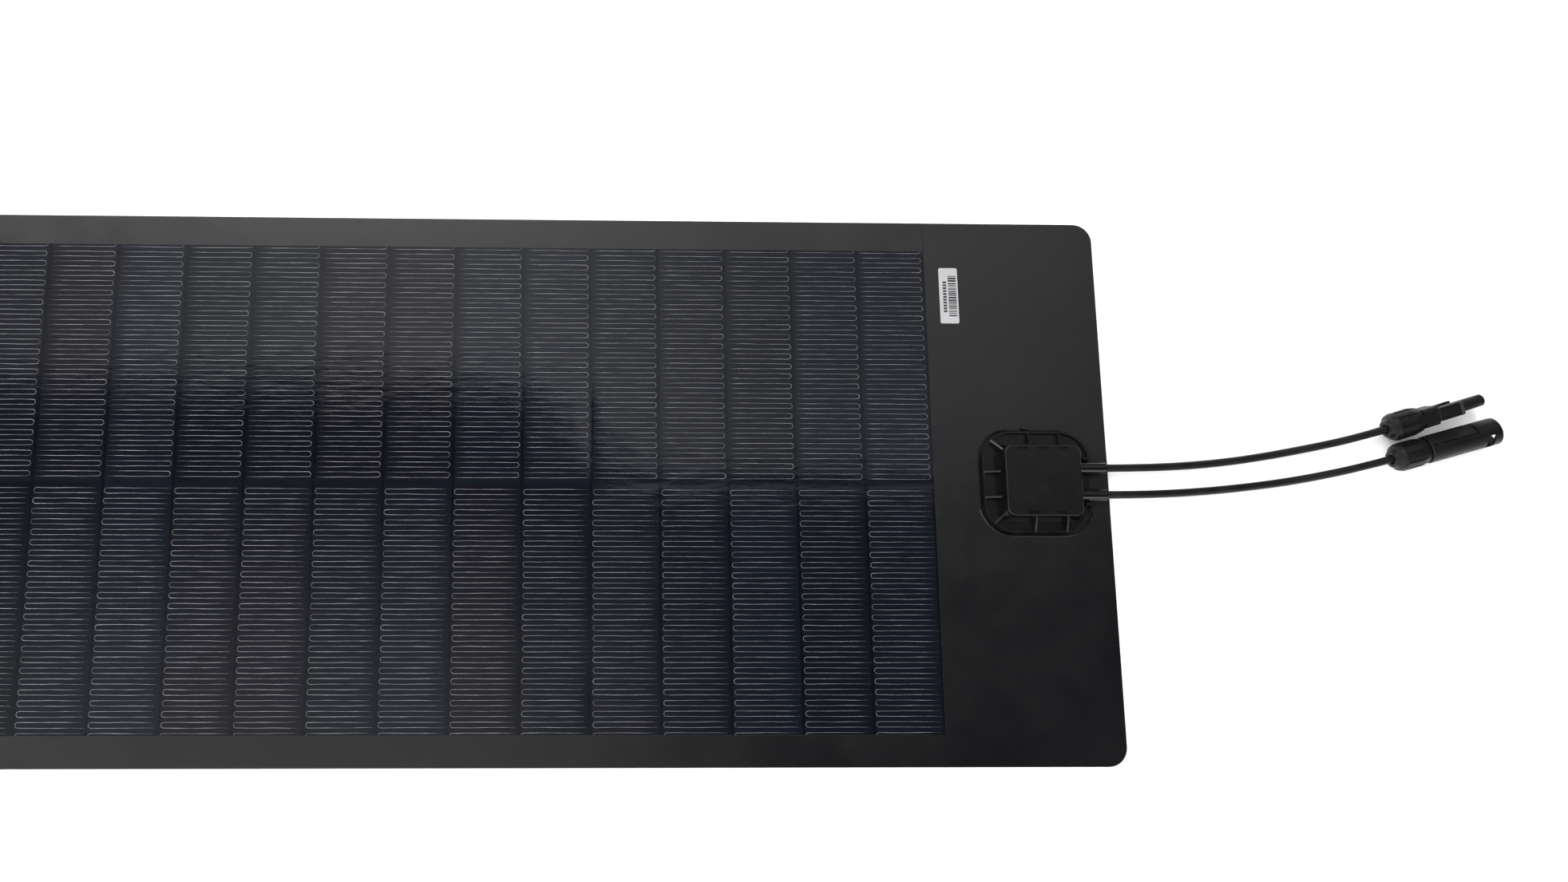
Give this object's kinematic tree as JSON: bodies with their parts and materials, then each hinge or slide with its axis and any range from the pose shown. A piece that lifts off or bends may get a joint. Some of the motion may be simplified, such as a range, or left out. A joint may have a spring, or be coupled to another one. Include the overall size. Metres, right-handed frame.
{
  "type": "flexible solar sheet",
  "caption": "Long thin flexible solar laminate with two rows of dark wire-gridded cells, a low surface junction box at one end and two short leads with locking connectors.",
  "frame": {"origin": "middle of the laminate underside, measured without the leads", "axes": "+X along the sheet from its tail to the junction box, +Y across the sheet towards the label side, +Z out of the lit face"},
  "size_m": [1.1934, 0.348, 0.0181],
  "materials": {
    "back_polymer": "matte black backsheet",
    "clear_resin": "clear encapsulant",
    "clear_film": "clear glossy front film",
    "seal_black": "black edge seal",
    "solar_cell": "dark navy thin-film cell",
    "decal": "clear decal that carries the wires",
    "tinned_copper": "tinned",
    "mask_black": "satin black film",
    "label_white": "white printed label",
    "box_plastic": "satin black moulding",
    "adhesive": "glossy black silicone",
    "soft_rubber": "matt black rubber",
    "red_silicone": "red-brown silicone",
    "diode_black": "moulded body",
    "copper": "bright copper",
    "lead_jacket": "black jacket",
    "connector_plastic": "satin black moulding"
  },
  "bodies": {
    "panel": {"backsheet": "back_polymer", "rear_encapsulant": "clear_resin", "front_encapsulant": "clear_resin", "front_film": "clear_film", "edge_seal": "seal_black", "cells_far_row": "solar_cell", "cells_near_row": "solar_cell", "wire_decals_far_row": "decal", "wire_decals_near_row": "decal", "tail_crossover_bus": "tinned_copper", "positive_bus_ribbon": "tinned_copper", "negative_bus_ribbon": "tinned_copper", "edge_mask_far": "mask_black", "edge_mask_near": "mask_black", "end_mask_tail": "mask_black", "end_mask_box": "mask_black", "serial_label": "label_white", "box_base": "box_plastic", "lid_gasket": "red_silicone", "box_adhesive_bead": "adhesive", "positive_terminal": "copper", "negative_terminal": "copper", "positive_core_crimp": "tinned_copper", "negative_core_crimp": "tinned_copper", "positive_cable_bush": "soft_rubber", "negative_cable_bush": "soft_rubber", "bypass_diode": "diode_black", "positive_lead": "lead_jacket", "negative_lead": "lead_jacket", "probe_housing": "connector_plastic", "probe_contact_socket": "tinned_copper", "probe_sealing_ring": "red_silicone", "probe_lead_seal": "soft_rubber", "shell_housing": "connector_plastic", "shell_contact_pin": "tinned_copper", "shell_lead_seal": "soft_rubber"},
    "lid": {"box_lid": "box_plastic"},
    "probe_collet": {"probe_clamp_collet": "connector_plastic"},
    "probe_nut": {"probe_cap_nut": "connector_plastic"},
    "probe_arm_upper": {"probe_latch_arm_upper": "connector_plastic"},
    "probe_arm_lower": {"probe_latch_arm_lower": "connector_plastic"},
    "shell_collet": {"shell_clamp_collet": "connector_plastic"},
    "shell_nut": {"shell_cap_nut": "connector_plastic"}
  },
  "joints": [
    {"name": "lid_lift", "type": "slide", "parent": "panel", "child": "lid", "axis": [0, 0, 1], "range_m": [0, 0.015]},
    {"name": "probe_collet_slide", "type": "slide", "parent": "panel", "child": "probe_collet", "axis": [-0.9563, -0.2924, 0], "range_m": [0, 0.006]},
    {"name": "probe_nut_turn", "type": "hinge", "parent": "probe_collet", "child": "probe_nut", "pos_m": [0.66138, 0.03971, 0.0091], "axis": [-0.9563, -0.2924, 0], "range_deg": [0, 1441]},
    {"name": "probe_arm_upper_press", "type": "hinge", "parent": "panel", "child": "probe_arm_upper", "pos_m": [0.68282, 0.04516, 0.01511], "axis": [-0.2879, 0.9418, 0.1736], "range_deg": [0, 4], "stiffness_Nm_per_rad": 0.3},
    {"name": "probe_arm_lower_press", "type": "hinge", "parent": "panel", "child": "probe_arm_lower", "pos_m": [0.6822, 0.04718, 0.00309], "axis": [0.2879, -0.9418, -0.1736], "range_deg": [0, 4], "stiffness_Nm_per_rad": 0.3},
    {"name": "shell_collet_slide", "type": "slide", "parent": "panel", "child": "shell_collet", "axis": [-0.9646, -0.2639, 0], "range_m": [0, 0.006]},
    {"name": "shell_nut_turn", "type": "hinge", "parent": "shell_collet", "child": "shell_nut", "pos_m": [0.66307, 0.01987, 0.0091], "axis": [-0.9646, -0.2639, 0], "range_deg": [0, 1441]}
  ],
  "couplings": [
    {"joint": "probe_nut_turn", "follows": "probe_collet_slide", "rad_per_m": 4188.8},
    {"joint": "shell_nut_turn", "follows": "shell_collet_slide", "rad_per_m": 4188.8}
  ]
}
